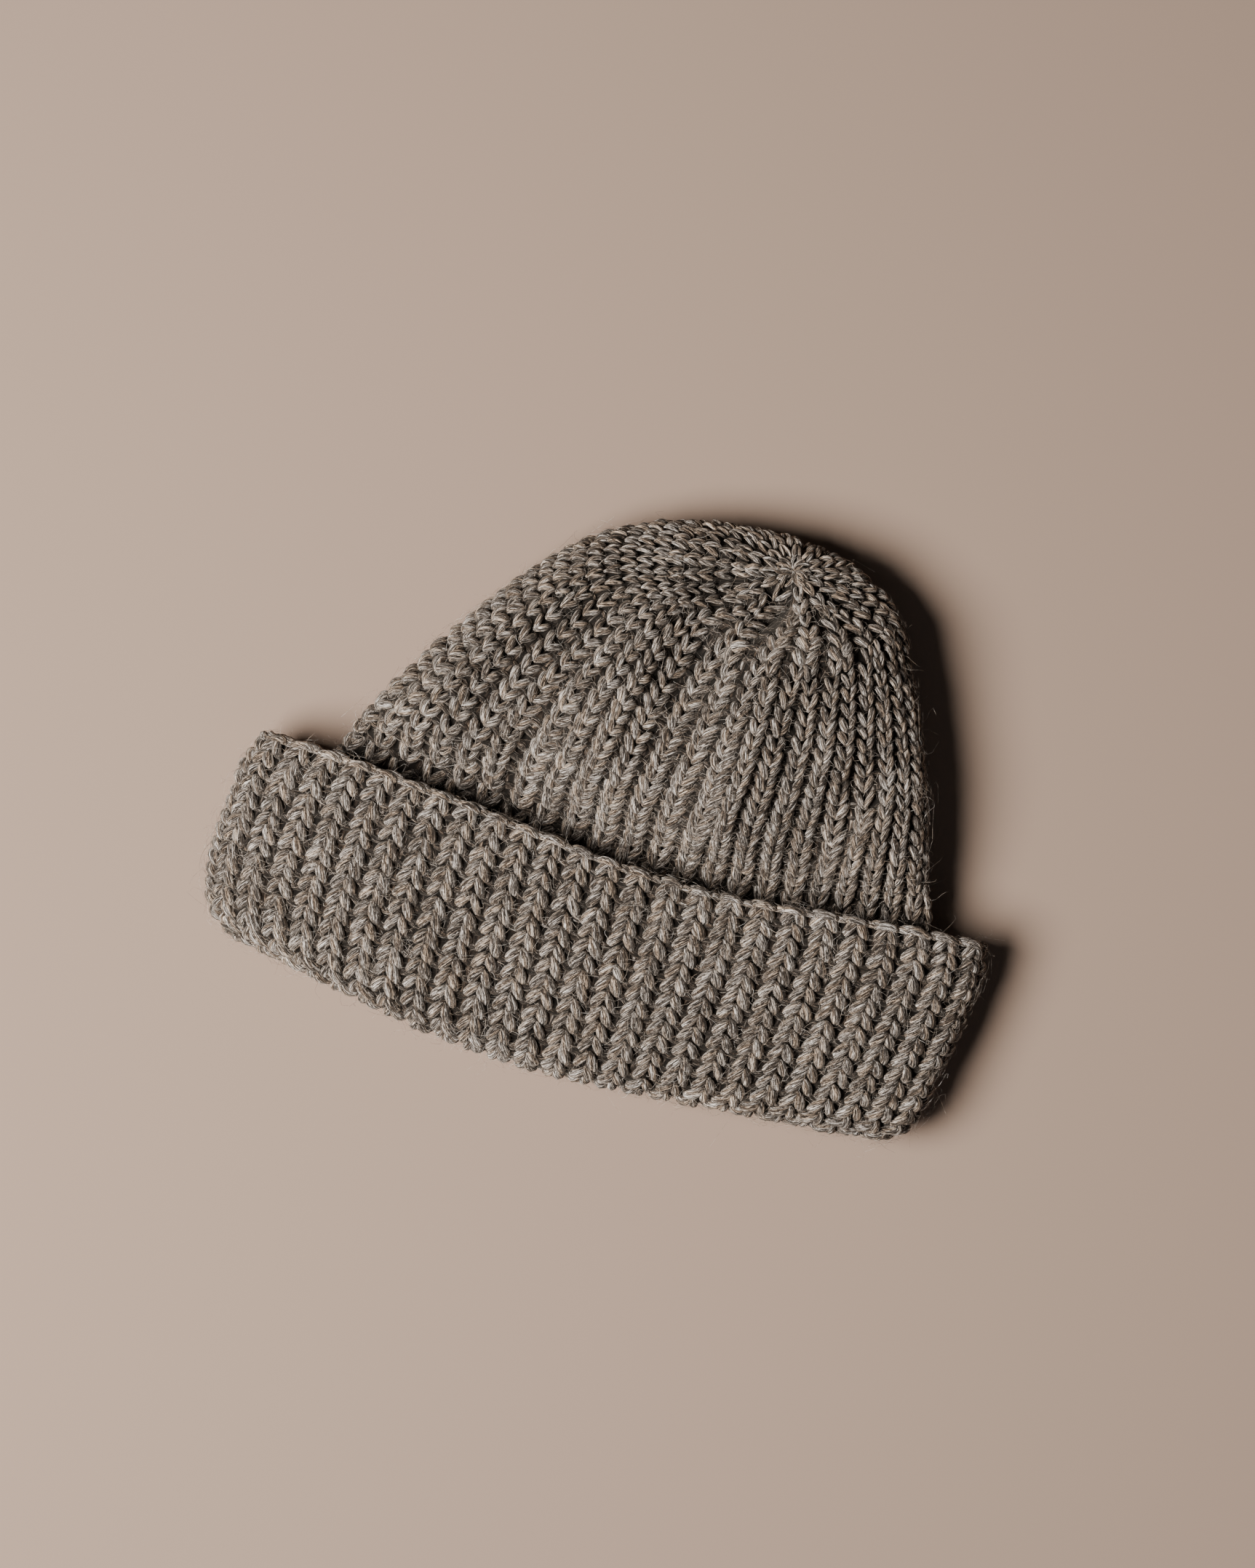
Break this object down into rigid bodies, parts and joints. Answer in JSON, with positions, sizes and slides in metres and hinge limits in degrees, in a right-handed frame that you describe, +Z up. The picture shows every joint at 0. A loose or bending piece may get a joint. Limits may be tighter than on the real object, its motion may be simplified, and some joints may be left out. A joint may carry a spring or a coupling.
{
  "type": "ribbed knit cap",
  "caption": "Soft ribbed knit cap lying flat, with a hollow crown gathered at its tip and a deep turned-up cuff.",
  "frame": {"origin": "under the middle of the lying cap, on the surface that it rests on", "axes": "+X along the cuff, +Y from the head opening towards the crown's tip, +Z up from the surface"},
  "size_m": [0.2258, 0.1692, 0.0442],
  "materials": {
    "wool_knit": "heathered wool"
  },
  "bodies": {
    "root": {"crown": "wool_knit", "cuff": "wool_knit"}
  },
  "joints": []
}
